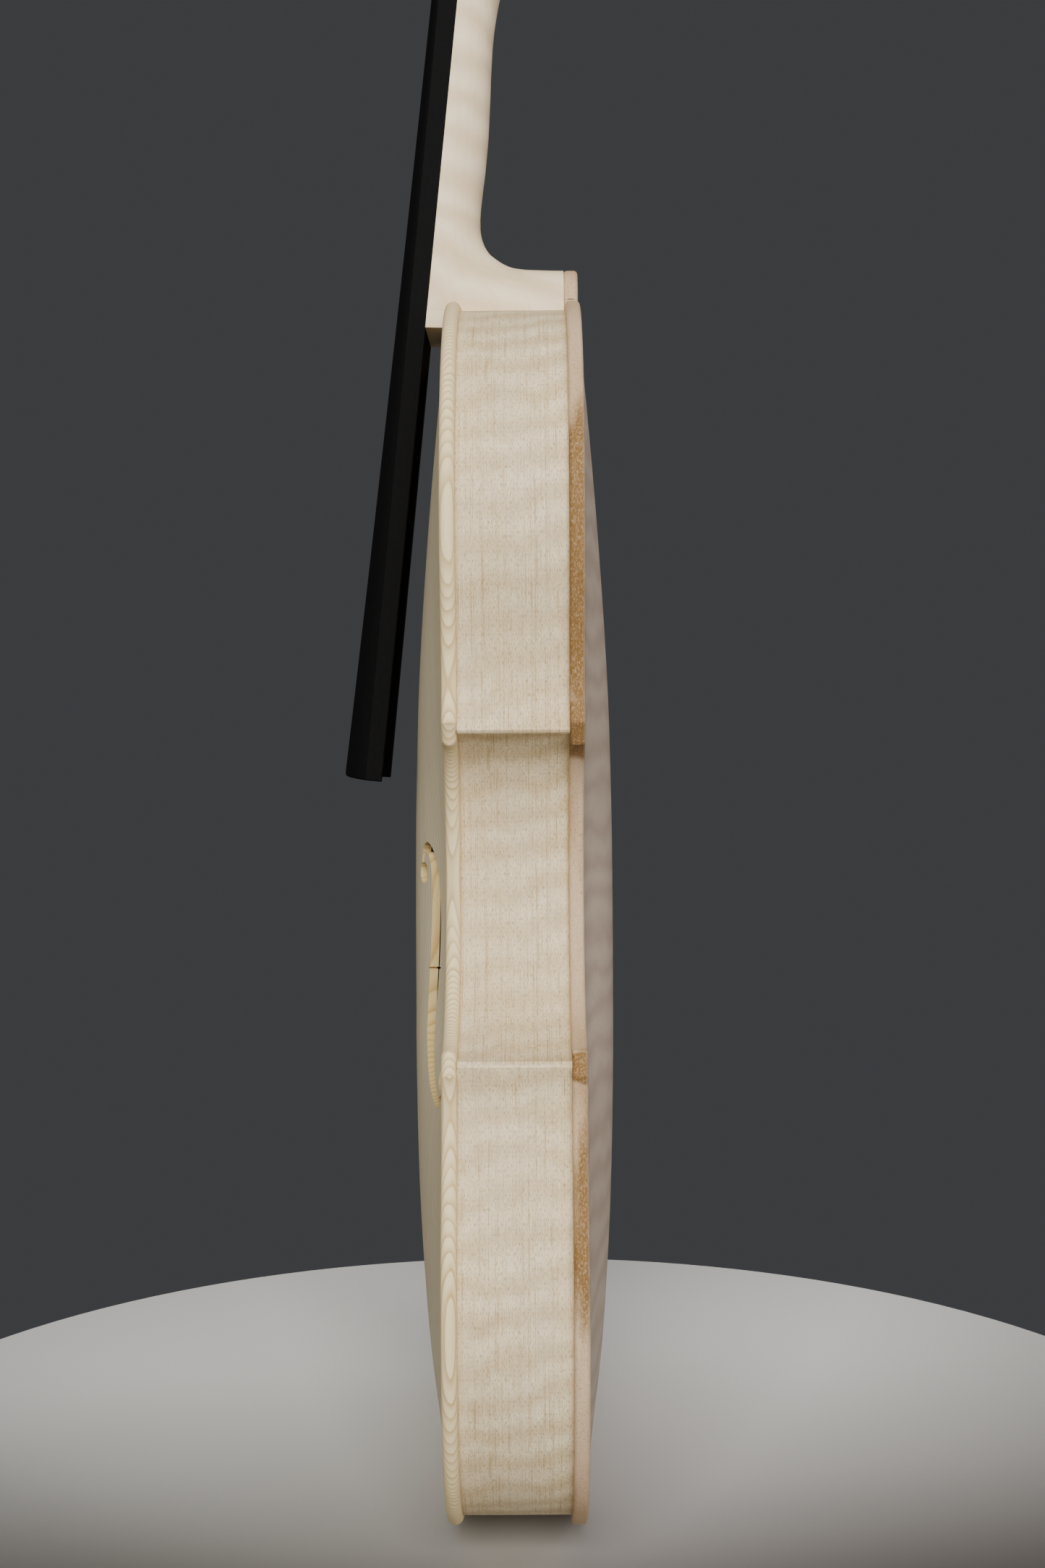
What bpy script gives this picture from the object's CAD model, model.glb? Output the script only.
"""Looks for a full-size violin in the white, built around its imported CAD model.

Metres, in the row frame: +Z up the body to the scroll, -X out of the spruce front, +X out of the maple
back, -Y the treble side, which faces the camera. Lengths named below are in millimetres, and MM turns
them into metres. Heights in outlines are above the bottom edge of the plates.
"""

import math

import bmesh
import bpy
import numpy as np
from mathutils import Matrix, Vector, geometry


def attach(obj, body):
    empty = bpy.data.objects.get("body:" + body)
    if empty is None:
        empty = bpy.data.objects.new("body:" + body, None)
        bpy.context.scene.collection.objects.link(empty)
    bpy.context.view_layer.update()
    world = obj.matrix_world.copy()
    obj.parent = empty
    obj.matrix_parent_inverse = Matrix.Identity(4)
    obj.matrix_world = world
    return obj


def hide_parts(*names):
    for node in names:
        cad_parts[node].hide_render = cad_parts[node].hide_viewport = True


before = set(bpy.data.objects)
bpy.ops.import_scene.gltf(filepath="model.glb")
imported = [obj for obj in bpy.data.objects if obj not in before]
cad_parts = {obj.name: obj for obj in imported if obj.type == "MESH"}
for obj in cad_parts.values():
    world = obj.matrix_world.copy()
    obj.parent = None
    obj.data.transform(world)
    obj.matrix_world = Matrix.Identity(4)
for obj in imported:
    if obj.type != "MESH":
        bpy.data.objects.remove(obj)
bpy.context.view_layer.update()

MM = 0.001

# ---- body, as in the CAD model ----
RIB_HALF = 15.15
BUTTON_HALF_WIDTH, BUTTON_TOP = 10.5, 367.6
OVERHANG = 2.6
RIB_THICKNESS = 1.1
EDGE_THICKNESS = 4.2
BODY_BOTTOM = -OVERHANG
BODY_LENGTH = 355.5

LOWER_BOUT = [
    (0, 0), (25, 0.8), (45, 3.0), (62, 7.6), (77, 15.6), (89, 27), (98, 42),
    (102.9, 58), (104, 74), (102.2, 91), (97.6, 107), (93.2, 121), (91.8, 131), (93.6, 139.5),
]
WAIST = [
    (89.6, 145.6), (79.5, 148.2), (70, 153.6), (62.2, 162.5), (57.4, 174),
    (55.6, 187), (56.6, 200), (60.2, 211), (66.4, 219.8), (75.6, 225.6),
]
UPPER_BOUT = [
    (79.2, 231.6), (77.0, 239), (77.2, 248), (79.8, 260), (82.8, 271), (84, 283), (82.4, 300),
    (76.4, 317), (66.5, 331.5), (53, 343), (36, 351), (17, 354.8), (0, BODY_LENGTH),
]
# The arches: their share of the full height along the body, the outline's half width that they run out
# in (a margin short of it), and how full they are across it: 1 is a plain cosine, and more is fuller.
ARCH_ALONG = [
    (0, 0), (9, 0), (25, 0.235), (50, 0.575), (75, 0.765), (100, 0.892), (135, 0.982), (155, 1), (180, 1),
    (210, 0.96), (245, 0.83), (285, 0.557), (320, 0.25), (346, 0), (360, 0),
]
ARCH_ACROSS = [
    (0, 60), (20, 80), (45, 96), (74, 101), (105, 94), (130, 80), (150, 62), (185, 53),
    (215, 60), (240, 72), (280, 81), (310, 78), (335, 62), (356, 45),
]
ARCH_FULLNESS = 1.75
ARCH_MARGIN = 6.0
FRONT_ARCH, BACK_ARCH = 15.2, 14.05
FRONT_THICKNESS, BACK_THICKNESS = 2.4, 3.4
CHANNEL_DEPTH = 0.55
# Down the middle of an f-hole's slot, from the upper hook to the lower one: distance from the centre line,
# height, and the slot's width there.
F_HOLE_SLOT = [
    (26.3, 190.0, 1.6), (27.5, 193.4, 2.2), (30.2, 195.1, 3.0), (33.2, 192.9, 3.9), (34.9, 188.6, 4.7),
    (36.0, 181.2, 5.6), (36.8, 173.0, 6.2), (37.8, 163.5, 6.6), (38.9, 154.5, 6.6), (40.7, 146.6, 6.1),
    (44.4, 140.6, 5.4), (49.2, 135.2, 5.0), (54.2, 130.4, 4.7), (58.4, 127.6, 3.8), (62.6, 126.4, 2.7),
    (66.2, 130.3, 1.8),
]
UPPER_EYE, LOWER_EYE, NOTCH_PLACE = (27.0, 187.4), (64.0, 134.2), (38.2, 160.5)
UPPER_EYE_RADIUS, LOWER_EYE_RADIUS, NOTCH_REACH = 3.2, 4.6, 4.6

# ---- ribs and purfling ----
END_PIN_RADIUS = 3.5
# Rows across a rib's strip from its middle line, closer together where the end pin's hole is cut.
HALF_ROWS = [1.4, 2.5, 3.2, END_PIN_RADIUS, 4.6, 7, 10, 13, RIB_HALF]
RIB_ROWS = [-row for row in reversed(HALF_ROWS)] + [0] + HALF_ROWS
PURFLING_START, BLACK_WIDTH, WHITE_WIDTH = 4.0, 0.35, 0.5

# ---- neck, fingerboard and head ----
TILT = math.radians(5.9)
BOARD_LENGTH = 270.0
BOARD_RADIUS = 34.0
BOARD_END = (-39.8, 211.2)
NUT_X = BOARD_END[0] + BOARD_LENGTH * math.sin(TILT)
NUT_Z = BOARD_END[1] + BOARD_LENGTH * math.cos(TILT)
BOARD_HALF_WIDTH_AT_NUT, BOARD_WIDENING = 12.0, 9.2
BOARD_EDGE_AT_NUT, BOARD_EDGE_LOSS = 6.1, 1.1
BOARD_SIDE_WALL = 4.8
STRING_SPACING = 5.5

# ---- reference camera ----
LENS = 45.4
SENSOR = 36.0
CAMERA_PLACE = (4.83, -605.58, 233.41)
YAW, PITCH, ROLL = -0.0046, -0.0394, -0.005

# ---- table that the violin stands on ----
TABLE_RADIUS, TABLE_RIM, TABLE_THICKNESS, TABLE_STEPS = 235.0, 2.5, 18.0, 128
TABLE_GAP = 0.2


# ---- camera and light ----
def new_object(name, data):
    """A new object, linked into the scene."""
    thing = bpy.data.objects.new(name, data)
    bpy.context.scene.collection.objects.link(thing)
    return thing


def place_camera():
    """The camera of the reference view: level with the waist, square to the treble side."""
    data = bpy.data.cameras.new("camera")
    data.sensor_width = SENSOR
    data.lens = LENS
    data.clip_start = 0.01
    camera = new_object("camera", data)
    level = math.cos(PITCH)
    forward = Vector((math.sin(YAW) * level, math.cos(YAW) * level, math.sin(PITCH)))
    right = Vector((math.cos(YAW), -math.sin(YAW), 0))
    up = right.cross(forward)
    rolled_right = math.cos(ROLL) * right + math.sin(ROLL) * up
    rolled_up = -math.sin(ROLL) * right + math.cos(ROLL) * up
    turn = Matrix((rolled_right, rolled_up, -forward)).transposed()
    camera.matrix_world = Matrix.Translation(Vector(CAMERA_PLACE) * MM) @ turn.to_4x4()
    bpy.context.scene.camera = camera


def area_light(name, place, target, size, power, colour):
    """A rectangular lamp at a place, in metres, turned to face the target."""
    data = bpy.data.lights.new(name, "AREA")
    data.shape = "RECTANGLE"
    data.size, data.size_y = size
    data.energy = power
    data.color = colour
    light = new_object(name, data)
    light.location = place
    light.rotation_euler = (Vector(target) - Vector(place)).to_track_quat("-Z", "Y").to_euler()


def light_studio():
    """An evenly grey surround, one large soft lamp over the camera, and three weaker ones."""
    world = bpy.data.worlds.new("studio")
    bpy.context.scene.world = world
    world.use_nodes = True
    background = world.node_tree.nodes["Background"]
    background.inputs["Color"].default_value = (0.052, 0.053, 0.057, 1)
    background.inputs["Strength"].default_value = 1.0
    area_light("key", (-0.08, -1.55, 0.95), (0, 0, 0.25), (1.1, 0.9), 41, (1.0, 0.97, 0.92))
    area_light("fill", (0.8, -1.2, 0.5), (0, 0, 0.25), (0.8, 1.2), 9, (1.0, 0.98, 0.96))
    area_light("left", (-1.3, 0.2, 0.6), (0, 0, 0.2), (0.8, 1.0), 2, (1.0, 0.98, 0.9))
    area_light("right", (1.3, 0.5, 0.6), (0, 0, 0.2), (0.8, 1.0), 4, (1.0, 0.93, 0.95))


# ---- curves ----
def hermite(points):
    """A smooth curve through (place, value) points, as a function of arrays of places."""
    places = np.array([p[0] for p in points], float)
    values = np.array([p[1] for p in points], float)
    before = np.maximum(np.arange(len(points)) - 1, 0)
    after = np.minimum(np.arange(len(points)) + 1, len(points) - 1)
    slopes = (values[after] - values[before]) / (places[after] - places[before])

    def curve(place):
        place = np.clip(np.asarray(place, float), places[0], places[-1])
        i = np.clip(np.searchsorted(places, place, side="right") - 1, 0, len(places) - 2)
        span = places[i + 1] - places[i]
        t = (place - places[i]) / span
        start = (1 + 2 * t) * (1 - t) ** 2 * values[i] + t * (1 - t) ** 2 * span * slopes[i]
        end = t * t * (3 - 2 * t) * values[i + 1] + t * t * (t - 1) * span * slopes[i + 1]
        return start + end

    return curve


def spline(points, start, end, spacing):
    """Evenly spaced points on the cubic spline through points, with unit end directions."""
    p = np.array(points, float)
    h = np.linalg.norm(np.diff(p, axis=0), axis=1)
    n = len(p)
    slopes_matrix = np.zeros((n, n))
    rhs = np.zeros((n, 2))
    slopes_matrix[0, 0] = slopes_matrix[-1, -1] = 1
    rhs[0] = np.array(start) / np.linalg.norm(start)
    rhs[-1] = np.array(end) / np.linalg.norm(end)
    for i in range(1, n - 1):
        slopes_matrix[i, i - 1] = h[i]
        slopes_matrix[i, i] = 2 * (h[i - 1] + h[i])
        slopes_matrix[i, i + 1] = h[i - 1]
        steps = (p[i] - p[i - 1]) / h[i - 1], (p[i + 1] - p[i]) / h[i]
        rhs[i] = 3 * (h[i] * steps[0] + h[i - 1] * steps[1])
    slopes = np.linalg.solve(slopes_matrix, rhs)
    dense = []
    for i in range(n - 1):
        t = np.linspace(0, 1, 40, endpoint=i == n - 2)[:, None]
        dense.append(
            (1 + 2 * t) * (1 - t) ** 2 * p[i] + t * (1 - t) ** 2 * h[i] * slopes[i]
            + t * t * (3 - 2 * t) * p[i + 1] + t * t * (t - 1) * h[i] * slopes[i + 1]
        )
    return respaced(np.concatenate(dense), spacing)


def respaced(line, spacing):
    """The same line with its points spread evenly, about spacing apart."""
    along = lengths_along(line)
    places = np.linspace(0, along[-1], max(int(round(along[-1] / spacing)), 1) + 1)
    return np.stack([np.interp(places, along, line[:, i]) for i in range(line.shape[1])], axis=1)


def lengths_along(line):
    """How far along a line each of its points is."""
    return np.concatenate([[0], np.cumsum(np.linalg.norm(np.diff(line, axis=0), axis=1))])


def left_normals(line):
    """Unit normals to the left of the direction of travel, at each point of a line."""
    travel = np.gradient(line, axis=0)
    travel /= np.linalg.norm(travel, axis=1)[:, None]
    return np.stack([-travel[:, 1], travel[:, 0]], axis=1)


def bout_curves(spacing):
    """The three curves of half the outline, from the bottom of the body to its top, on the bass side."""
    return {
        "lower": spline(LOWER_BOUT, (1, 0), (0.35, 1), spacing),
        "waist": spline(WAIST, (-1, 0.08), (1, 0.32), spacing),
        "upper": spline(UPPER_BOUT, (-0.45, 1), (-1, 0), spacing),
    }


class Outline:
    """Half of the body's outline, from its bottom to its top on the bass side, with its cut corners.

    inset(d) gives the same points moved d into the body. Points near a corner that would pass it
    stop on the corner of the inset outline instead.
    """

    def __init__(self, spacing, button=False):
        curves = list(bout_curves(spacing).values())
        if button:
            curves[2] = with_button(curves[2], spacing)
        self.points, self.normals, self.corners = [], [], []
        for i, curve in enumerate(curves):
            normals = left_normals(curve)
            if i == 0:
                normals[0] = (0, 1)
            if i == 2:
                normals[-1] = (0, -1)
            self._add(curve, normals)
            if i < 2:
                cut = respaced(np.array([curve[-1], curves[i + 1][0]]), spacing / 2)
                self._add(cut, left_normals(cut))
        self.points = np.concatenate(self.points) + (0, BODY_BOTTOM)
        self.normals = np.concatenate(self.normals)
        self.along = lengths_along(self.points)
        for corner in self.corners:
            corner["at"] = self.along[corner["index"]]

    def _add(self, line, normals):
        if self.points:
            before = self.normals[-1][-1]
            turn = math.acos(np.clip(np.dot(before, normals[0]), -1, 1))
            sideways = (before + normals[0]) / (1 + np.dot(before, normals[0]))
            index = sum(len(p) for p in self.points)
            self.corners.append({"index": index, "sideways": sideways, "slope": math.tan(turn / 2)})
        self.points.append(line)
        self.normals.append(normals)

    def inset(self, d):
        moved = self.points + self.normals * d
        for corner in self.corners:
            near = np.abs(self.along - corner["at"]) < corner["slope"] * d + 1e-6
            moved[near] = self.points[corner["index"]] + corner["sideways"] * d
        moved[0, 0] = moved[-1, 0] = 0
        return moved


def with_button(upper, spacing):
    """The upper bout with the button added at its middle, from a small hollow corner up and round."""
    half, top, hollow = BUTTON_HALF_WIDTH, BUTTON_TOP, 1.6
    keep = upper[upper[:, 0] > half + hollow]
    start = keep[-1]
    angles = np.linspace(0, math.pi / 2, 8)
    fillet = np.stack([
        half + hollow - hollow * np.sin(angles), start[1] + 0.25 + hollow - hollow * np.cos(angles)
    ], axis=1)
    side = np.array([[half, start[1] + 0.6 + hollow], [half, top - half]])
    round_top = np.linspace(0, math.pi / 2, 24)
    crown = np.stack([half * np.cos(round_top), top - half + half * np.sin(round_top)], axis=1)
    return np.concatenate([keep, fillet, respaced(side, spacing), crown[1:]])


# ---- meshes ----
def new_piece(name, vertices, faces, smooth_angle=40.0, grain=None, second_from=None):
    """A mesh piece from vertices in millimetres, cleaned, facing outwards, and riding on the violin.

    grain places each vertex in a bent strip. Faces from second_from on take the second material.
    """
    mesh = bpy.data.meshes.new(name)
    points = [tuple(v) for v in np.asarray(vertices, float) * MM]
    mesh.from_pydata(points, [], [list(f) for f in faces])
    if grain is not None:
        layer = mesh.attributes.new("grain", "FLOAT_VECTOR", "POINT")
        layer.data.foreach_set("vector", np.asarray(grain, np.float32).ravel())
    if second_from is not None:
        for face in mesh.polygons[second_from:]:
            face.material_index = 1
    work = bmesh.new()
    work.from_mesh(mesh)
    bmesh.ops.remove_doubles(work, verts=work.verts, dist=2e-6)
    bmesh.ops.dissolve_degenerate(work, edges=work.edges, dist=1e-7)
    bmesh.ops.recalc_face_normals(work, faces=work.faces)
    for face in work.faces:
        face.smooth = True
    for edge in work.edges:
        if len(edge.link_faces) == 2:
            edge.smooth = edge.calc_face_angle(0) < math.radians(smooth_angle)
    work.to_mesh(mesh)
    work.free()
    piece = new_object(name, mesh)
    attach(piece, "violin")
    return piece


def grid_faces(rows, columns, first=0, close_rows=False, close_columns=False):
    """Quads over a grid of vertices stored row by row."""
    faces = []
    for i in range(rows if close_rows else rows - 1):
        for j in range(columns if close_columns else columns - 1):
            a = first + i * columns + j
            b = first + i * columns + (j + 1) % columns
            c = first + ((i + 1) % rows) * columns + (j + 1) % columns
            d = first + ((i + 1) % rows) * columns + j
            faces.append((a, b, c, d))
    return faces


def inside_polygon(points, polygon):
    """Which points lie inside a closed polygon."""
    x, y = points[:, 0], points[:, 1]
    result = np.zeros(len(points), bool)
    x0, y0 = polygon[:, 0], polygon[:, 1]
    x1, y1 = np.roll(x0, -1), np.roll(y0, -1)
    for a, b, c, d in zip(x0, y0, x1, y1):
        crosses = ((b > y) != (d > y)) & (x < (c - a) * (y - b) / (d - b + 1e-12) + a)
        result ^= crosses
    return result


# ---- plates ----
arch_share = hermite(ARCH_ALONG)
arch_half_width = hermite(ARCH_ACROSS)


class Plate:
    """What sets one plate apart: its side of the body, arch, thickness and the roundness of its edge."""

    def __init__(self, side, arch, thickness, edge_radius, button=False):
        self.side, self.arch, self.thickness = side, arch, thickness
        self.edge_radius, self.button = edge_radius, button

    def surface(self, points, inset):
        """Height of the outer face over the glue plane."""
        height = points[:, 1] - BODY_BOTTOM
        across = np.minimum(np.abs(points[:, 0]) / (arch_half_width(height) - ARCH_MARGIN), 1)
        share = arch_share(height) * 0.5 * (1 + np.cos(math.pi * across**ARCH_FULLNESS))
        dip = CHANNEL_DEPTH * np.exp(-(((inset - 6.3) / 2.3) ** 2)) * (1 - share)
        dip *= np.clip((BODY_LENGTH - 3.5 - height) / 3.0, 0, 1)
        return EDGE_THICKNESS + (self.arch - EDGE_THICKNESS) * share - dip

    def inner(self, points, inset):
        """Height of the inner face: flat under the glue ledge, then hollowed to an even thickness."""
        blend = np.clip((inset - 6.6) / 1.6, 0, 1)
        blend = blend * blend * (3 - 2 * blend)
        blend *= np.clip((BODY_LENGTH - 9.0 - points[:, 1] + BODY_BOTTOM) / 2.0, 0, 1)
        return blend * (self.surface(points, inset) - self.thickness)


FRONT = Plate(side=-1, arch=FRONT_ARCH, thickness=FRONT_THICKNESS, edge_radius=2.1)
BACK = Plate(side=1, arch=BACK_ARCH, thickness=BACK_THICKNESS, edge_radius=1.1, button=True)
RIM = 6.4


def edge_profile(plate):
    """Insets and heights from the edge's outermost line up to the outer face, and down to the inner one."""
    r = plate.edge_radius
    flat = EDGE_THICKNESS - 2 * r
    angles = np.linspace(0, math.pi / 2, 9)
    rise = [(r * (1 - math.cos(a)), EDGE_THICKNESS - r + r * math.sin(a)) for a in angles]
    fall = [(r * (1 - math.cos(a)), r - r * math.sin(a)) for a in angles]
    if flat > 0.2:
        fall = [(0.0, EDGE_THICKNESS / 2)] + fall
        rise = [(0.0, EDGE_THICKNESS / 2)] + rise
    outer_insets = [r + 0.35, 3.0, 3.6, 4.3, 5.0, 5.7, RIM]
    inner_insets = [r + 0.4, 3.6, RIM]
    return rise, fall, outer_insets, inner_insets


def skin_sheet(outline, cut_shapes, grid):
    """The skin inside the rim, as a flat triangulated sheet with the cut shapes left out of it."""
    rim = outline.inset(RIM)
    keep = np.concatenate([[True], np.linalg.norm(np.diff(rim, axis=0), axis=1) > 1e-4])
    rim = rim[keep]
    low, high = rim[0, 1], rim[-1, 1]
    steps = int((high - low) / grid)
    middle = np.stack([np.zeros(steps - 1), np.linspace(high, low, steps + 1)[1:-1]], axis=1)
    border = np.concatenate([rim, middle])
    ys, zs = np.meshgrid(np.arange(grid * 0.6, 105, grid), np.arange(low + 1, high, grid * 0.87))
    ys = ys + (np.arange(len(ys)) % 2)[:, None] * grid / 2
    inner_points = np.stack([ys.ravel(), zs.ravel()], axis=1)
    inner_points = inner_points[inside_polygon(inner_points, border)]
    inner_points = inner_points[nearest(inner_points, rim) > grid * 0.45]
    shapes = [np.asarray(shape) for shape in cut_shapes]
    for shape in shapes:
        inner_points = inner_points[nearest(inner_points, shape) > 0.6]
    points = np.concatenate([border, inner_points] + shapes)
    edges = [(i, (i + 1) % len(border)) for i in range(len(border))]
    shape_faces = []
    first = len(border) + len(inner_points)
    for shape in shapes:
        shape_faces.append(list(range(first, first + len(shape))))
        first += len(shape)
    out = geometry.delaunay_2d_cdt([Vector(p) for p in points], edges, shape_faces, 0, 1e-5)
    flat = np.array([tuple(v) for v in out[0]])
    triangles = [tuple(t) for t, source in zip(out[2], out[5]) if not source]
    centres = np.array([flat[list(t)].mean(axis=0) for t in triangles])
    inside = inside_polygon(centres, border)
    return flat, [triangle for triangle, is_in in zip(triangles, inside) if is_in]


def border_edges(triangles):
    """The edges that only one triangle uses."""
    uses = {}
    for t in triangles:
        for a, b in ((t[0], t[1]), (t[1], t[2]), (t[2], t[0])):
            key = (min(a, b), max(a, b))
            uses[key] = uses.get(key, 0) + 1
    return [edge for edge, used in uses.items() if used == 1]


def build_plate(name, plate, mirror, cut_shapes=(), grid=2.1, spacing=1.5):
    """Half a plate as one closed mesh: a rim of rings round the edge, and a fine skin inside it."""
    outline = Outline(spacing, plate.button)
    rise, fall, outer_insets, inner_insets = edge_profile(plate)
    vertices, faces = [], []

    def add_ring(d, heights):
        ring = outline.inset(d)
        first = len(vertices)
        for (y, z), x in zip(ring, np.broadcast_to(heights, len(ring))):
            vertices.append((plate.side * (RIB_HALF + x), y, z))
        return first

    def join(a, b):
        for i in range(len(outline.points) - 1):
            faces.append((a + i, a + i + 1, b + i + 1, b + i))

    start = add_ring(*rise[0])
    chains = []
    for profile, insets, outer in ((rise, outer_insets, True), (fall, inner_insets, False)):
        last, chain = start, [start]
        for d, x in profile[1:]:
            ring = add_ring(d, x)
            join(last, ring)
            last = ring
            chain.append(ring)
        for d in insets:
            ring_points = outline.inset(d)
            fade = min((d - plate.edge_radius) / 1.0, 1)
            top = plate.surface(ring_points, d) * fade + EDGE_THICKNESS * (1 - fade)
            ring = add_ring(d, top if outer else 0.0)
            join(last, ring)
            last = ring
            chain.append(ring)
        chains.append(chain)
    count = len(outline.points)
    for end in (0, count - 1):
        faces.append([c + end for c in chains[0]] + [c + end for c in reversed(chains[1][1:])])

    flat, triangles = skin_sheet(outline, cut_shapes, grid)
    distance = nearest(flat, outline.points)
    on_rim = distance < RIM + 0.06
    distance[on_rim] = RIM
    top_height, bottom_height = plate.surface(flat, distance), plate.inner(flat, distance)
    top = len(vertices)
    for heights in (top_height, bottom_height):
        for (y, z), x in zip(flat, heights):
            vertices.append((plate.side * (RIB_HALF + x), y, z))
    bottom = top + len(flat)
    faces += [tuple(top + i for i in t) for t in triangles]
    faces += [tuple(bottom + i for i in reversed(t)) for t in triangles]
    walls_from = len(faces)
    for a, b in border_edges(triangles):
        if not (on_rim[a] and on_rim[b] and max(flat[a][0], flat[b][0]) > 1e-3):
            faces.append((top + a, top + b, bottom + b, bottom + a))
    vertices = np.array(vertices)
    if mirror:
        vertices[:, 1] *= -1
    return new_piece(name, vertices, faces, smooth_angle=38, second_from=walls_from)


def nearest(points, line):
    """Distance from each point to a closed or open line of closely spaced points."""
    result = np.full(len(points), 1e9)
    a, b = line[:-1], line[1:]
    span = b - a
    length2 = np.maximum((span**2).sum(axis=1), 1e-12)
    for start in range(0, len(points), 2000):
        p = points[start:start + 2000, None, :]
        t = np.clip(((p - a) * span).sum(axis=2) / length2, 0, 1)
        gap = p - (a + t[..., None] * span)
        result[start:start + 2000] = np.sqrt((gap**2).sum(axis=2).min(axis=1))
    return result


# ---- sound holes ----
def f_hole_shapes():
    """The slot, both eyes and the notch of the bass f-hole, as closed polygons in (y, z)."""
    slot = np.array(F_HOLE_SLOT)
    line, widths = slot[:, :2] + (0, BODY_BOTTOM), slot[:, 2]
    before = np.vstack([line[0], line[:-1]])
    after = np.vstack([line[1:], line[-1]])
    travel = after - before
    travel /= np.linalg.norm(travel, axis=1)[:, None]
    across = np.stack([-travel[:, 1], travel[:, 0]], axis=1) * widths[:, None] / 2
    sides = []
    for edge in (line + across, line - across):
        ends = edge[1] - edge[0], edge[-1] - edge[-2]
        sides.append(spline(edge, *ends, 0.55))
    shapes = [np.concatenate([sides[1], sides[0][::-1]])]
    for (y, z), radius in ((UPPER_EYE, UPPER_EYE_RADIUS), (LOWER_EYE, LOWER_EYE_RADIUS)):
        turn = np.linspace(0, 2 * math.pi, 48, endpoint=False)
        eye = [y + radius * np.cos(turn), z + BODY_BOTTOM + radius * np.sin(turn)]
        shapes.append(np.stack(eye, axis=1))
    y, z = NOTCH_PLACE
    z += BODY_BOTTOM
    notch = [(y - NOTCH_REACH, z - 0.3), (y, z - 1.3), (y + NOTCH_REACH, z + 0.9), (y, z + 1.3)]
    shapes.append(np.array(notch))
    return shapes


# ---- ribs ----
def meet(corner, normals, insets):
    """Where two lines through a corner meet after each moves in by its own inset."""
    cosine = normals[0] @ normals[1]
    shares = (insets[0] - cosine * insets[1], insets[1] - cosine * insets[0])
    return corner + (normals[0] * shares[0] + normals[1] * shares[1]) / (1 - cosine**2)


def rib_lines(level, spacing=1.5):
    """The outer and inner faces of a rib in plan, from its lower end to its upper one, on the bass side."""
    bouts = bout_curves(spacing)
    order = list(bouts)
    curve = bouts[level]
    i = order.index(level)
    normals = left_normals(curve)
    lines = []
    for inset, cut_inset in ((OVERHANG, 0.7), (OVERHANG + RIB_THICKNESS, 2.2)):
        line = curve + normals * inset
        if i < 2:
            line = to_corner(line, curve[-1], bouts[order[i + 1]][0], normals[-1], inset, cut_inset)
        if i > 0:
            other = bouts[order[i - 1]][-1]
            line = to_corner(line[::-1], curve[0], other, normals[0], inset, cut_inset)[::-1]
        lines.append(line)
    if level == "lower":
        lines[0][0, 0] = lines[1][0, 0] = 0
    if level == "upper":
        lines[0][-1, 0] = lines[1][-1, 0] = 0
    count = 2 * max(len(line) for line in lines)
    placed = [respaced_to(line, count) + (0, BODY_BOTTOM) for line in lines]
    return placed


def to_corner(line, corner, other, normal, inset, cut_inset):
    """A rib's line, trimmed or drawn out to the corner and on to the middle of its blunt end."""
    cut = other - corner
    cut_normal = np.array([-cut[1], cut[0]]) / np.linalg.norm(cut)
    if cut_normal @ normal < 0:
        cut_normal = -cut_normal
    tip = meet(corner, (normal, cut_normal), (inset, cut_inset))
    travel = line[-1] - line[-2]
    keep = (line - tip) @ travel < -0.3 * np.linalg.norm(travel)
    keep |= np.linalg.norm(line - tip, axis=1) > 12
    middle = (corner + other) / 2 + cut_normal * cut_inset
    return np.concatenate([line[keep], [tip], [middle]])


def respaced_to(line, count):
    """The same line with count evenly spread points, some of which are moved onto its sharp corners."""
    along = lengths_along(line)
    places = np.linspace(0, along[-1], count)
    sharp = along[[i for i in range(1, len(line) - 1) if corner_at(line, i)]]
    for place in sharp:
        places[np.argmin(np.abs(places - place))] = place
    return np.stack([np.interp(places, along, line[:, i]) for i in range(2)], axis=1)


def corner_at(line, i):
    """Whether a line turns sharply at its point number i."""
    a, b = line[i] - line[i - 1], line[i + 1] - line[i]
    return a @ b < 0.93 * np.linalg.norm(a) * np.linalg.norm(b)


def build_rib(level, side, sign):
    """A bent strip of maple; the lower one is cut for the end pin. Carries where along the strip it is."""
    outer, inner = rib_lines(level)
    start = 0 if sign < 0 else 400
    along = lengths_along(outer)
    share = along / along[-1]
    vertices, grain = [], []
    for face, line in enumerate((outer, inner)):
        for x in RIB_ROWS:
            places = share.copy()
            if level == "lower":
                notch = math.sqrt(max(END_PIN_RADIUS**2 - x * x, 0)) / along[-1]
                reach = 12 / along[-1]
                near = places < reach
                places[near] = notch + places[near] * (reach - notch) / reach
            y = np.interp(places, share, line[:, 0])
            z = np.interp(places, share, line[:, 1])
            for i in range(len(y)):
                vertices.append((x, sign * y[i], z[i]))
                grain.append((x * MM, (start + places[i] * along[-1]) * MM, face * RIB_THICKNESS * MM))
    rows, columns = len(RIB_ROWS), len(outer)
    half = rows * columns
    faces = grid_faces(rows, columns) + grid_faces(rows, columns, first=half)
    for i in range(rows - 1):
        for j in (0, columns - 1):
            a, b = i * columns + j, (i + 1) * columns + j
            faces.append((a, b, b + half, a + half))
    for j in range(columns - 1):
        for i in (0, rows - 1):
            a = i * columns + j
            faces.append((a, a + 1, a + 1 + half, a + half))
    name = f"{level}_rib_{side}_bent"
    return new_piece(name, vertices, faces, smooth_angle=30, grain=grain)


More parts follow.
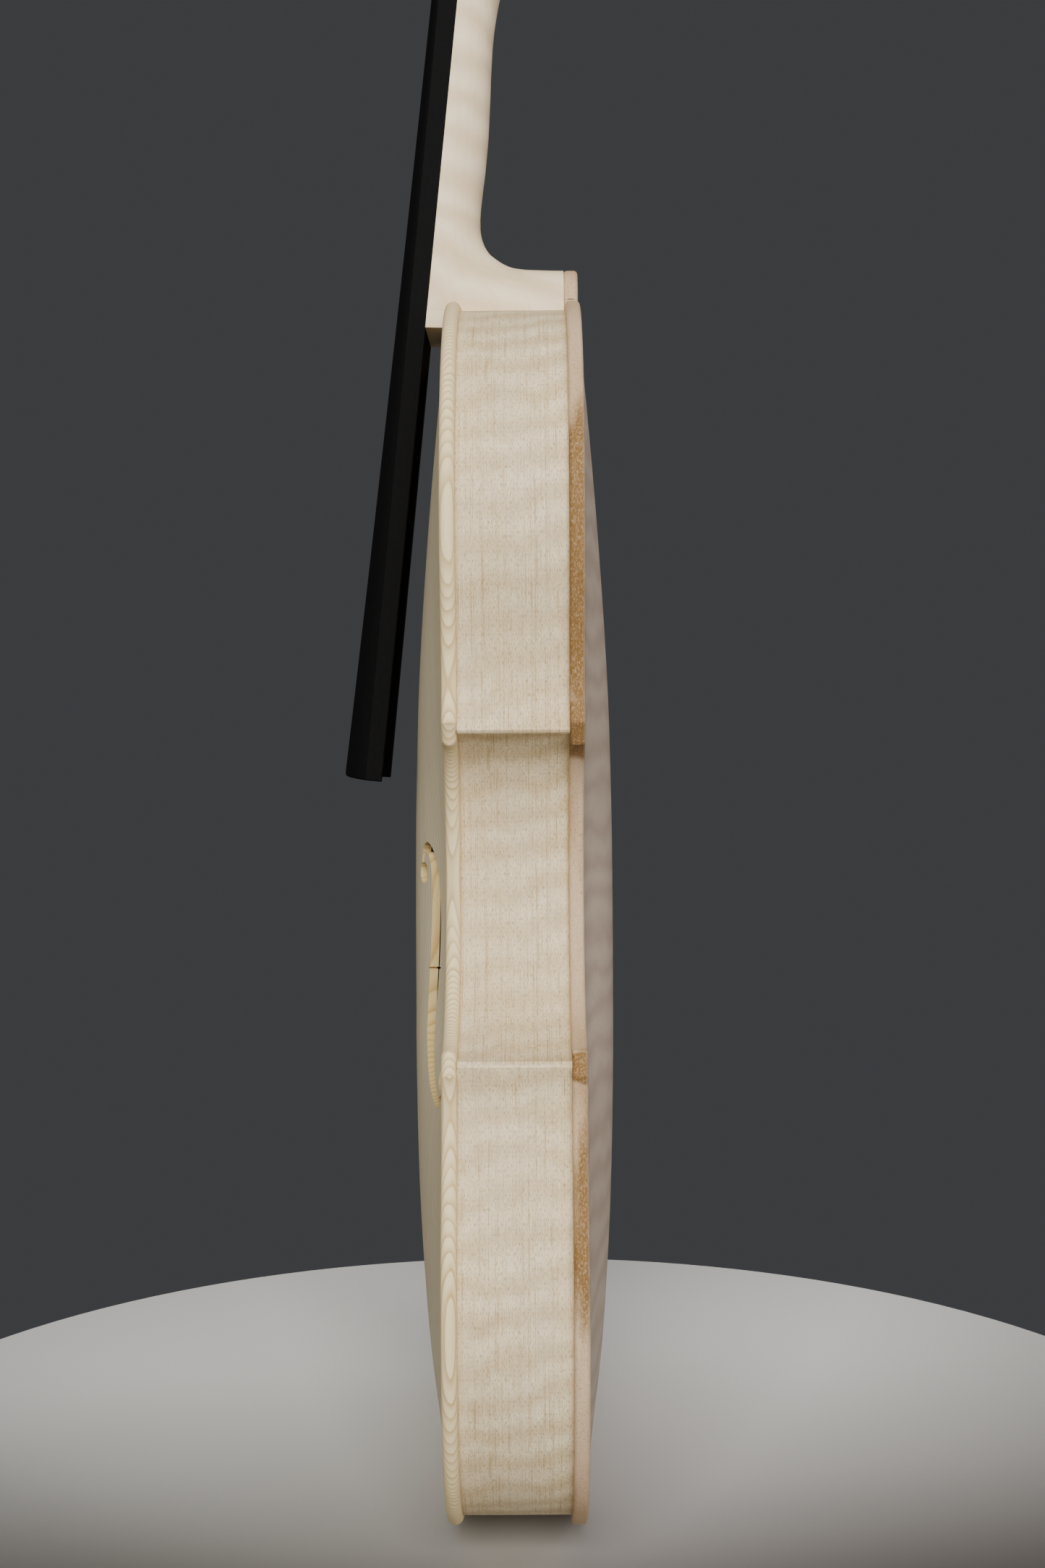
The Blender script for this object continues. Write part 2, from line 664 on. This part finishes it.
# ---- purfling ----
def build_purfling(name, plate, bands):
    """Thin closed strips let into the plate's face round its edge, following the arch."""
    outline = Outline(1.2)
    vertices, faces = [], []
    for inner, outer in bands:
        corners = []
        for inset, lift in ((inner, 0.03), (outer, 0.03), (outer, -1.6), (inner, -1.6)):
            ring = outline.inset(inset)
            loop = np.concatenate([ring, ring[-2:0:-1] * (-1, 1)])
            x = plate.side * (RIB_HALF + plate.surface(loop, np.full(len(loop), inset)) + lift)
            corners.append(np.column_stack([x, loop]))
        count = len(corners[0])
        first = len(vertices)
        vertices.extend(np.concatenate(corners))
        faces += grid_faces(4, count, first, close_rows=True, close_columns=True)
    return new_piece(name, vertices, faces, smooth_angle=35)


# ---- fingerboard and nut ----
def board_point(s, t=0.0):
    """The (x, z) of a point s up from the nut and t behind the glue plane."""
    return NUT_X + s * math.sin(TILT) + t * math.cos(TILT), NUT_Z + s * math.cos(TILT) - t * math.sin(TILT)


def board_outline(half_width, edge, bevel=0.7, steps=18):
    """The board's section as (y, height over the glue plane), from one lower edge over to the other."""
    reach = half_width - bevel
    ys = np.linspace(-reach, reach, steps + 1)
    crown = edge + np.sqrt(BOARD_RADIUS**2 - ys**2) - math.sqrt(BOARD_RADIUS**2 - half_width**2)
    lower = [(-half_width, 0.0), (-half_width, edge * 0.5), (-half_width, edge - bevel * 0.6)]
    return lower + list(zip(ys, crown)) + [(-y, h) for y, h in reversed(lower)]


def build_board():
    """The fingerboard, crowned on top and hollowed underneath from the end of the neck on."""
    middle = np.linspace(-4, -BOARD_LENGTH + 1.2, 60)
    stations = np.concatenate([[0, -0.5], middle, [-BOARD_LENGTH + 0.4, -BOARD_LENGTH]])
    vertices = []
    for s in stations:
        share = -s / BOARD_LENGTH
        half_width = BOARD_HALF_WIDTH_AT_NUT + share * BOARD_WIDENING
        edge = BOARD_EDGE_AT_NUT - share * BOARD_EDGE_LOSS
        hollow = half_width - BOARD_SIDE_WALL
        ends = min(-s, BOARD_LENGTH + s)
        trim = 0.35 * max(1 - ends / 0.5, 0)
        section = board_outline(half_width - trim, edge - trim)
        reach = np.linspace(1, -1, 15) * hollow
        deep = np.clip((-s - 145) / 6, 0, 1) * (4.5 + (share - 0.54) / 0.46 * 1.9)
        under = [(y, max(deep, 0) * (1 - (y / hollow) ** 2) ** 0.5) for y in reach]
        for y, height in section + under:
            x, z = board_point(s, -height)
            vertices.append((x, y, z))
    columns = len(vertices) // len(stations)
    faces = grid_faces(len(stations), columns, close_columns=True)
    crown = len(section)
    for row in (0, len(stations) - 1):
        first = row * columns
        top = [first + i for i in range(crown)]
        under = [first + crown + i for i in range(columns - crown)]
        left, right = len(top) // 2, len(under) // 2
        faces.append(top[:left + 1] + under[right:])
        faces.append(top[left:] + under[:right + 1])
    return new_piece("fingerboard_worked", vertices, faces, smooth_angle=28)


def build_nut():
    """The nut, rounded over on the side of the pegbox, with four filed string grooves."""
    vertices = []
    profile = [
        (0.0, 0.0), (0.0, 1.0), (0.25, 1.0), (1.4, 0.97), (3.0, 0.9), (4.6, 0.72), (5.4, 0.5), (5.6, 0.3),
        (5.6, 0.0),
    ]
    half = BOARD_HALF_WIDTH_AT_NUT
    ys = np.linspace(-half, half, 97)
    for y in ys:
        full = 7.4 + math.sqrt(BOARD_RADIUS**2 - y * y) - math.sqrt(BOARD_RADIUS**2 - half**2)
        for string in range(4):
            full -= 0.55 * math.exp(-(((y - (string - 1.5) * STRING_SPACING) / 0.38) ** 2))
        full -= 0.5 * max(abs(y) - 11.4, 0) ** 2
        for s, share in profile:
            narrow = 1 - 0.0028 * s
            x, z = board_point(s, -full * share)
            vertices.append((x, y * narrow, z))
    rows, columns = len(ys), len(profile)
    faces = grid_faces(rows, columns, close_columns=True)
    faces.append(list(range(columns)))
    faces.append([(rows - 1) * columns + i for i in range(columns)])
    return new_piece("nut_filed", vertices, faces, smooth_angle=40)


# ---- scroll ----
# Its place is along the board's line from the nut, and behind it. The volute turns as far as its end.
SCROLL_CENTRE = (89.5, 20.5)
SCROLL_END = 4 * math.pi
EYE_RADIUS = 5.6
EYE_HALF_WIDTH = 20.5


def eased(value, low, high):
    """From 0 at low to 1 at high, level at both ends."""
    share = min(max((value - low) / (high - low), 0), 1)
    return share * share * (3 - 2 * share)


def volute_width(turn):
    """Half the width of the volute, which grows towards the eye and stops just short of it."""
    width = 5.9 + 0.6 * eased(turn, 0.0, 0.8) + 0.085 * turn**2
    return width - 1.2 * eased(turn, 0.88 * SCROLL_END, SCROLL_END)


def volute_radius(turn):
    """How far the volute's rim is from its centre: a log spiral that ends in the eye."""
    radius = 19.85 * math.exp(-0.0955 * turn) - 0.5 * (1 - eased(turn, 0.05, 0.75))
    return radius + (EYE_RADIUS - 0.1 - radius) * eased(turn, 0.8 * SCROLL_END, SCROLL_END)


def volute_section(turn):
    """Half a section of the volute: fluted rim, chamfer, hollow side, and the wall down to the next turn."""
    grow = eased(turn, 0.05, 0.75)
    outer, width = volute_radius(turn), volute_width(turn)
    inner, next_width = EYE_RADIUS - 0.6, width
    if turn + 2 * math.pi < SCROLL_END:
        inner, next_width = volute_radius(turn + 2 * math.pi), volute_width(turn + 2 * math.pi)
    points = []
    for share in np.linspace(0, 1, 13):
        ridge = (math.cos(2 * math.pi * share) + 1) / 2
        points.append((outer + 0.45 * ridge * grow, share * (width - 0.5)))
    points.append((outer + 0.25 * grow, width - 0.15))
    points.append((outer - 0.45, width))
    for share in np.linspace(0.1, 0.95, 9):
        points.append((outer + (inner - outer) * share, width - 0.4 * grow * math.sin(math.pi * share)))
    points.append((inner - 0.3, width + (next_width - width) * 0.5))
    points.append((inner - 0.6, next_width - 0.6))
    return points


def build_scroll():
    """The carved volute, two turns and an eye on each side, that stands just over the head's stepped one."""
    vertices = []

    def add(turn, reach, y):
        along, behind = reach * math.sin(turn), reach * math.cos(turn)
        x, z = board_point(SCROLL_CENTRE[0] + along, SCROLL_CENTRE[1] + behind)
        vertices.append((x, y, z))

    turns = np.linspace(0, SCROLL_END, 241)
    for turn in turns:
        section = volute_section(turn)
        for reach, y in section + [(reach, -y) for reach, y in section[:0:-1]]:
            add(turn, reach, y)
    columns = 2 * len(section) - 1
    faces = grid_faces(len(turns), columns, close_columns=True)
    faces.append(tuple(range(columns))[::-1])
    faces.append(tuple(range(len(vertices) - columns, len(vertices))))

    first = len(vertices)
    rim = [(2.5, 20.45), (4.4, 20.2), (5.25, 19.75), (EYE_RADIUS, 19.1)]
    rings = rim + [(reach, -y) for reach, y in reversed(rim)]
    steps = 64
    for reach, y in rings:
        for step in range(steps):
            add(2 * math.pi * step / steps, reach, y)
    faces += grid_faces(len(rings), steps, first, close_columns=True)
    for ring, y in ((0, EYE_HALF_WIDTH), (len(rings) - 1, -EYE_HALF_WIDTH)):
        add(0, 0, y)
        middle, start = len(vertices) - 1, first + ring * steps
        faces += [(start + step, start + (step + 1) % steps, middle) for step in range(steps)]
    return new_piece("scroll_carved", vertices, faces, smooth_angle=36)


# ---- wood ----
# From one band of a maple's flame to the next, in the body and in the neck.
FLAME_WIDTH, NECK_FLAME_WIDTH = 10.5, 12.0


class Shader:
    """A material being built: short ways to add and join its nodes."""

    def __init__(self, name, roughness=0.6, specular=0.25):
        self.material = bpy.data.materials.new(name)
        self.material.use_nodes = True
        self.tree = self.material.node_tree
        self.surface = self.tree.nodes["Principled BSDF"]
        self.surface.inputs["Roughness"].default_value = roughness
        self.surface.inputs["Specular IOR Level"].default_value = specular

    def node(self, kind, values=(), **settings):
        """A new node, with values or links for its sockets and values for its own settings."""
        node = self.tree.nodes.new(kind)
        for key, value in settings.items():
            setattr(node, key, value)
        for socket, value in dict(values).items():
            self.feed(node.inputs[socket], value)
        return node

    def feed(self, socket, value):
        if isinstance(value, bpy.types.NodeSocket):
            self.tree.links.new(value, socket)
        else:
            socket.default_value = value

    def math(self, operation, *values):
        return self.node("ShaderNodeMath", enumerate(values), operation=operation).outputs[0]

    def place(self):
        """The point in the object's own millimetres, as a vector and as x, y and z."""
        return self.millimetres(self.node("ShaderNodeTexCoord").outputs["Object"])

    def strip_place(self):
        """The point in a bent strip, in millimetres, as a vector and as across, along and into it."""
        return self.millimetres(self.node("ShaderNodeAttribute", attribute_name="grain").outputs["Vector"])

    def plus(self, a, b):
        return self.math("ADD", a, b)

    def times(self, a, b):
        return self.math("MULTIPLY", a, b)

    def millimetres(self, point):
        scaled = self.scaled(point, (1 / MM, 1 / MM, 1 / MM))
        parts = self.node("ShaderNodeSeparateXYZ", {0: scaled})
        return scaled, *parts.outputs[:3]

    def scaled(self, vector, scales):
        return self.node("ShaderNodeVectorMath", {0: vector, 1: scales}, operation="MULTIPLY").outputs[0]

    def noise(self, vector, scales, detail=2, roughness=0.5):
        scaled = self.scaled(vector, scales)
        values = {"Vector": scaled, "Scale": 1.0, "Detail": detail, "Roughness": roughness}
        return self.node("ShaderNodeTexNoise", values).outputs[0]

    def ramp(self, factor, stops):
        """A colour ramp through (position, grey or colour) stops."""
        node = self.node("ShaderNodeValToRGB", {0: factor})
        elements = node.color_ramp.elements
        while len(elements) < len(stops):
            elements.new(0.5)
        for element, (position, colour) in zip(elements, stops):
            element.position = position
            element.color = (*colour, 1) if isinstance(colour, tuple) else (colour, colour, colour, 1)
        return node.outputs[0]

    def between(self, factor, low, high, a=0.0, b=1.0):
        """Runs from a at low to b at high, and stays there past either."""
        values = {0: factor, 1: low, 2: high, 3: a, 4: b}
        return self.node("ShaderNodeMapRange", values, clamp=True).outputs[0]

    def bump(self, place, centre, reach):
        """One at the centre, falling to nothing a reach away on either side."""
        away = self.math("ABSOLUTE", self.math("SUBTRACT", place, centre))
        return self.between(away, 0.0, reach, 1.0, 0.0)

    def mix(self, factor, a, b, blend="MIX"):
        node = self.node("ShaderNodeMix", data_type="RGBA", blend_type=blend)
        for index, value in ((0, factor), (6, a), (7, b)):
            self.feed(node.inputs[index], (*value, 1) if isinstance(value, tuple) else value)
        return node.outputs[2]

    def tint(self, colour, factor, stops):
        """The colour, darker and lighter by a ramp of greys."""
        return self.mix(1.0, colour, self.ramp(factor, stops), "MULTIPLY")

    def flame(self, band, width):
        """Even waves between 0 and 1, one in every width."""
        return self.between(self.math("SINE", self.times(band, 2 * math.pi / width)), -1, 1)

    def finish(self, colour, height=None, distance=0.00005, strength=1.0, roughness=None):
        self.feed(self.surface.inputs["Base Color"], colour)
        if height is not None:
            values = {"Strength": strength, "Distance": distance, "Height": height}
            bump = self.node("ShaderNodeBump", values)
            self.feed(self.surface.inputs["Normal"], bump.outputs[0])
        if roughness is not None:
            self.feed(self.surface.inputs["Roughness"], roughness)
        return self.material


def spruce_rings(shader, point, x, y):
    """How far each place lies in the dark late wood of its year, for rings that stand across the width."""
    wander = shader.noise(point, (0.05, 0.05, 0.012), detail=3)
    spread = shader.noise(point, (0.16, 0.16, 0.004), detail=1)
    depth = shader.plus(shader.math("ABSOLUTE", y), shader.times(x, 0.16))
    ring = shader.plus(depth, shader.times(wander, 3.2))
    ring = shader.math("DIVIDE", ring, 1.25)
    ring = shader.plus(ring, shader.times(spread, 2.0))
    phase = shader.math("FRACT", ring)
    late = shader.ramp(phase, [(0.0, 0.5), (0.06, 0.0), (0.5, 0.06), (0.82, 0.6), (0.95, 1.0), (1.0, 0.6)])
    number = shader.node("ShaderNodeCombineXYZ", {0: shader.math("FLOOR", ring)}).outputs[0]
    year = shader.noise(number, (7.3, 1, 1))
    return shader.times(late, shader.between(year, 0.3, 0.7, 0.55, 1.0))


def spruce_material():
    """Quartersawn spruce, whose growth rings draw arcs on the rounded edge."""
    shader = Shader("bare_spruce", roughness=0.62)
    point, x, y, _ = shader.place()
    late_share = spruce_rings(shader, point, x, y)
    fibre = shader.noise(point, (9.0, 9.0, 0.22), detail=4, roughness=0.62)
    coarse = shader.noise(point, (0.9, 0.9, 0.05), detail=3)
    wood = shader.mix(late_share, (0.95, 0.785, 0.465), (0.46, 0.275, 0.085))
    wood = shader.tint(wood, fibre, [(0.25, 0.86), (0.5, 1.0), (0.75, 1.07)])
    wood = shader.mix(shader.between(coarse, 0.3, 0.75, 0.0, 0.35), wood, (0.80, 0.63, 0.36))
    grey = shader.noise(point, (0.02, 0.02, 0.011))
    wood = shader.mix(shader.between(grey, 0.4, 0.7, 0.0, 0.16), wood, (0.52, 0.48, 0.36))
    face = shader.between(shader.times(x, -1.0), 19.6, 21.0)
    wood = shader.mix(face, wood, shader.mix(1.0, wood, (0.79, 0.85, 1.0), "MULTIPLY"))
    raised = shader.times(late_share, 0.6)
    height = shader.plus(raised, shader.times(fibre, 0.7))
    return shader.finish(wood, height, distance=0.00006, strength=0.8)


def cut_spruce_material():
    """The knife-cut walls of the sound holes, where the open grain shows warmer."""
    shader = Shader("cut_spruce", roughness=0.7, specular=0.15)
    point, x, y, _ = shader.place()
    fibre = shader.noise(point, (8.0, 8.0, 0.6), detail=4, roughness=0.65)
    wood = shader.mix(spruce_rings(shader, point, x, y), (0.72, 0.55, 0.255), (0.50, 0.305, 0.09))
    wood = shader.tint(wood, fibre, [(0.25, 0.85), (0.6, 1.05)])
    return shader.finish(wood, fibre, distance=0.0001, strength=0.9)


def maple_strip_material():
    """Bent rib maple: growth lines and pores along the strip, faint flame bands across it."""
    shader = Shader("rib_maple_bare", roughness=0.55)
    point, across, along, _ = shader.strip_place()
    strong = shader.noise(point, (0.8, 0.003, 1))
    strong = shader.ramp(strong, [(0.45, 0.0), (0.485, 0.2), (0.5, 1.0), (0.515, 0.2), (0.55, 0.0)])
    fine = shader.noise(point, (2.6, 0.008, 1))
    fine = shader.ramp(fine, [(0.45, 0.0), (0.5, 1.0), (0.55, 0.0)])
    broken = shader.noise(point, (0.6, 0.12, 1), detail=3, roughness=0.6)
    broken = shader.between(broken, 0.38, 0.58)
    wave = shader.noise(point, (0.05, 0.03, 1), detail=3)
    slant = shader.plus(along, shader.times(across, -0.16))
    band = shader.plus(slant, shader.times(wave, 18.0))
    flame = shader.flame(band, FLAME_WIDTH)
    strength = shader.between(shader.noise(point, (0.02, 0.012, 1)), 0.35, 0.65, 0.25, 1.0)
    fibre = shader.noise(point, (6.0, 0.5, 3), detail=4, roughness=0.65)
    pores = shader.noise(point, (7.5, 0.8, 5), roughness=0.6)
    pores = shader.between(pores, 0.57, 0.66)
    patch = shader.noise(point, (0.05, 0.02, 1))
    flecks = shader.noise(point, (1.1, 4.5, 1), detail=3, roughness=0.65)
    wood = shader.mix(shader.times(flame, strength), (0.74, 0.585, 0.35), (0.97, 0.84, 0.575))
    strong_share = shader.times(strong, shader.times(broken, 0.8))
    wood = shader.mix(strong_share, wood, (0.40, 0.245, 0.10))
    fine_share = shader.times(fine, shader.times(broken, 0.5))
    wood = shader.mix(fine_share, wood, (0.48, 0.32, 0.14))
    wood = shader.tint(wood, fibre, [(0.25, 0.66), (0.5, 1.0), (0.75, 1.16)])
    wood = shader.mix(shader.times(pores, 0.75), wood, (0.34, 0.20, 0.075))
    wood = shader.mix(shader.between(flecks, 0.55, 0.72, 0.0, 0.45), wood, (0.95, 0.87, 0.70))
    wood = shader.mix(shader.between(patch, 0.42, 0.7, 0.0, 0.3), wood, (0.70, 0.62, 0.47))
    border = shader.between(shader.math("ABSOLUTE", across), 14.0, 15.1, 0.0, 0.5)
    wood = shader.mix(border, wood, (0.46, 0.31, 0.15))
    height = shader.math("SUBTRACT", shader.times(fibre, 0.6), pores)
    return shader.finish(wood, height, distance=0.00005, strength=0.9)


def maple_plate_material():
    """The back: a smooth greyish arch, and an edge whose cut fibres show rough, pink and brown."""
    shader = Shader("back_maple_bare", roughness=0.6)
    point, x, y, z = shader.place()
    wander = shader.noise(point, (0.05, 0.05, 0.01))
    line = shader.plus(shader.math("ABSOLUTE", y), shader.times(wander, 6.0))
    line = shader.math("DIVIDE", line, 1.7)
    line = shader.plus(line, shader.times(x, 0.10))
    phase = shader.math("FRACT", line)
    growth = shader.ramp(phase, [(0.0, 0.7), (0.12, 0.0), (0.7, 0.15), (0.92, 1.0), (1.0, 0.7)])
    wave = shader.noise(point, (0.05, 0.05, 0.06), detail=3)
    band = shader.plus(z, shader.times(wave, 16.0))
    flame = shader.flame(band, FLAME_WIDTH)
    fibre = shader.noise(point, (6.0, 6.0, 0.5), detail=4, roughness=0.65)
    rough = shader.noise(point, (2.4, 2.4, 1.1), detail=5, roughness=0.72)
    zone = shader.noise(point, (0.10, 0.03, 0.022), detail=3)
    bouts = shader.times(shader.bump(z, 90, 60), 0.62)
    heart = shader.plus(shader.bump(z, 270, 62), bouts)
    corners = shader.plus(shader.bump(z, 226, 9), shader.bump(z, 139, 5))
    heart = shader.plus(shader.plus(heart, corners), zone)
    heart = shader.between(heart, 0.78, 0.98)
    arch = shader.mix(flame, (0.42, 0.33, 0.26), (0.51, 0.415, 0.335))
    arch = shader.mix(shader.times(growth, 0.22), arch, (0.44, 0.31, 0.20))
    edge = shader.mix(shader.between(zone, 0.40, 0.60), (0.62, 0.455, 0.30), (0.50, 0.335, 0.185))
    edge = shader.mix(heart, edge, (0.215, 0.11, 0.027))
    edge = shader.mix(shader.between(rough, 0.47, 0.70, 0.0, 0.45), edge, (0.78, 0.60, 0.39))
    edge = shader.mix(shader.between(rough, 0.44, 0.32, 0.0, 0.7), edge, (0.27, 0.14, 0.045))
    wood = shader.mix(shader.between(x, 18.6, 19.9), edge, arch)
    wood = shader.tint(wood, fibre, [(0.25, 0.80), (0.5, 1.0), (0.75, 1.08)])
    flat = shader.between(x, 18.6, 19.9, 1.0, 0.25)
    roughened = shader.times(shader.times(rough, flat), 1.4)
    height = shader.plus(roughened, fibre)
    return shader.finish(wood, height, distance=0.00009, strength=0.9)


def neck_material():
    """Smooth bare maple with a faint flame."""
    shader = Shader("neck_maple_bare", roughness=0.5)
    point, x, y, z = shader.place()
    wander = shader.noise(point, (0.06, 0.06, 0.008))
    line = shader.math("DIVIDE", shader.plus(y, shader.times(wander, 5.0)), 1.6)
    phase = shader.math("FRACT", line)
    growth = shader.ramp(phase, [(0.0, 0.6), (0.15, 0.0), (0.75, 0.2), (0.94, 1.0), (1.0, 0.6)])
    wave = shader.noise(point, (0.05, 0.05, 0.05), detail=3)
    slant = shader.plus(z, shader.times(x, 0.3))
    band = shader.plus(slant, shader.times(wave, 16.0))
    flame = shader.flame(band, NECK_FLAME_WIDTH)
    fibre = shader.noise(point, (7.0, 7.0, 0.35), detail=4, roughness=0.6)
    wood = shader.mix(flame, (0.80, 0.635, 0.41), (0.95, 0.795, 0.555))
    wood = shader.mix(shader.times(growth, 0.14), wood, (0.56, 0.43, 0.30))
    wood = shader.tint(wood, fibre, [(0.25, 0.92), (0.5, 1.0), (0.75, 1.04)])
    return shader.finish(wood, fibre, distance=0.00003, strength=0.6)


def inner_material():
    """Sawn spruce, for the blocks, linings, bass bar and sound post."""
    shader = Shader("inner_spruce_sawn", roughness=0.75)
    point, x, y, _ = shader.place()
    rings = shader.plus(x, shader.times(y, 0.4))
    rings = shader.math("FRACT", shader.math("DIVIDE", rings, 1.6))
    saw = shader.noise(point, (3.0, 3.0, 0.4), detail=4, roughness=0.65)
    late = shader.ramp(rings, [(0.0, 0.0), (0.75, 0.1), (1.0, 0.8)])
    wood = shader.mix(late, (0.74, 0.62, 0.42), (0.55, 0.40, 0.22))
    wood = shader.tint(wood, saw, [(0.25, 0.85), (0.6, 1.05)])
    return shader.finish(wood, saw, distance=0.0001)


def veneer_material(name, dark, light, roughness, specular=0.4):
    """A fine dense wood: dyed or plain veneer, or ebony."""
    shader = Shader(name, roughness=roughness, specular=specular)
    point = shader.place()[0]
    fibre = shader.noise(point, (6.0, 6.0, 0.35), detail=4, roughness=0.6)
    pores = shader.between(shader.noise(point, (16.0, 16.0, 0.9)), 0.62, 0.7)
    wood = shader.mix(shader.between(fibre, 0.3, 0.75), dark, light)
    sheen = shader.between(fibre, 0.3, 0.7, roughness - 0.05, roughness + 0.07)
    height = shader.math("SUBTRACT", shader.times(fibre, 0.4), pores)
    return shader.finish(wood, height, distance=0.00003, strength=0.5, roughness=sheen)


def floor_material():
    """A plain pale table top."""
    shader = Shader("plain_table", roughness=0.5, specular=0.3)
    cloud = shader.noise(shader.place()[0], (0.01, 0.01, 0.01))
    return shader.finish(shader.mix(cloud, (0.60, 0.60, 0.60), (0.64, 0.64, 0.635)))


# ---- floor and assembly ----
def paint(piece, material, slot_name, *nodes):
    """Gives a piece its material, its slot, and the nodes that it is shown in place of."""
    piece.data.materials.append(material)
    if nodes:
        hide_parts(*nodes)


def lay_floor(lowest):
    """A pale round table, just under the violin, that ends a little way behind it."""
    turn = np.linspace(0, 2 * math.pi, TABLE_STEPS, endpoint=False)
    radius, rim = TABLE_RADIUS, TABLE_RIM
    rings = [(radius - rim, 0), (radius - rim * 0.3, -rim * 0.3), (radius, -rim), (radius, -TABLE_THICKNESS)]
    vertices = [(0, 0, lowest)]
    for r, drop in rings:
        vertices += [(r * math.cos(a), r * math.sin(a), lowest + drop) for a in turn]
    faces = [(0, 1 + i, 1 + (i + 1) % TABLE_STEPS) for i in range(TABLE_STEPS)]
    faces += grid_faces(len(rings), TABLE_STEPS, first=1, close_columns=True)
    mesh = bpy.data.meshes.new("table")
    mesh.from_pydata([tuple(np.array(v) * MM) for v in vertices], [], faces)
    for face in mesh.polygons:
        face.use_smooth = True
    table = new_object("table", mesh)
    table.data.materials.append(floor_material())


place_camera()
light_studio()
spruce, cut_spruce = spruce_material(), cut_spruce_material()
strip, back_maple = maple_strip_material(), maple_plate_material()
neck_maple, inner = neck_material(), inner_material()
black = veneer_material("dyed_veneer", (0.02, 0.017, 0.015), (0.06, 0.05, 0.04), 0.6)
white = veneer_material("plain_veneer", (0.60, 0.50, 0.36), (0.72, 0.62, 0.46), 0.6)
ebony = veneer_material("satin_ebony", (0.0035, 0.0035, 0.0038), (0.008, 0.0078, 0.008), 0.6, specular=0.03)
peg_ebony = veneer_material("polished_ebony", (0.010, 0.008, 0.007), (0.028, 0.020, 0.016), 0.28)

white_start = PURFLING_START + BLACK_WIDTH
black_start = white_start + WHITE_WIDTH
black_bands = [(PURFLING_START, white_start), (black_start, black_start + BLACK_WIDTH)]
white_bands = [(white_start, black_start)]
holes = f_hole_shapes()
for side, sign in (("treble", -1), ("bass", 1)):
    front = build_plate(f"front_plate_{side}_carved", FRONT, sign < 0, holes)
    paint(front, spruce, "spruce", f"front_plate_{side}")
    front.data.materials.append(cut_spruce)
    back = build_plate(f"back_plate_{side}_carved", BACK, sign < 0)
    paint(back, back_maple, "back_maple", f"back_plate_{side}")
    back.data.materials.append(back_maple)
    for level in ("lower", "waist", "upper"):
        rib = build_rib(level, side, sign)
        paint(rib, strip, "rib_maple", f"{level}_rib_{side}")
for face, plate in (("front", FRONT), ("back", BACK)):
    dark = build_purfling(f"{face}_purfling_dark", plate, black_bands)
    paint(dark, black, "purfling_black", f"{face}_purfling_black")
    light = build_purfling(f"{face}_purfling_light", plate, white_bands)
    paint(light, white, "purfling_white", f"{face}_purfling_white")
paint(build_board(), ebony, "ebony", "fingerboard")
paint(build_nut(), ebony, "ebony", "nut")
paint(build_scroll(), neck_maple, "neck_maple")

# Nodes that keep their CAD shapes, in the finished materials.
shown = {"neck": neck_maple} | {f"peg_{string}": peg_ebony for string in "geda"}
for name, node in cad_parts.items():
    if name in shown or "lining" in name or "block" in name or name in ("bass_bar", "sound_post"):
        node.data.materials.clear()
        node.data.materials.append(shown.get(name, inner))
lay_floor(BODY_BOTTOM - TABLE_GAP)
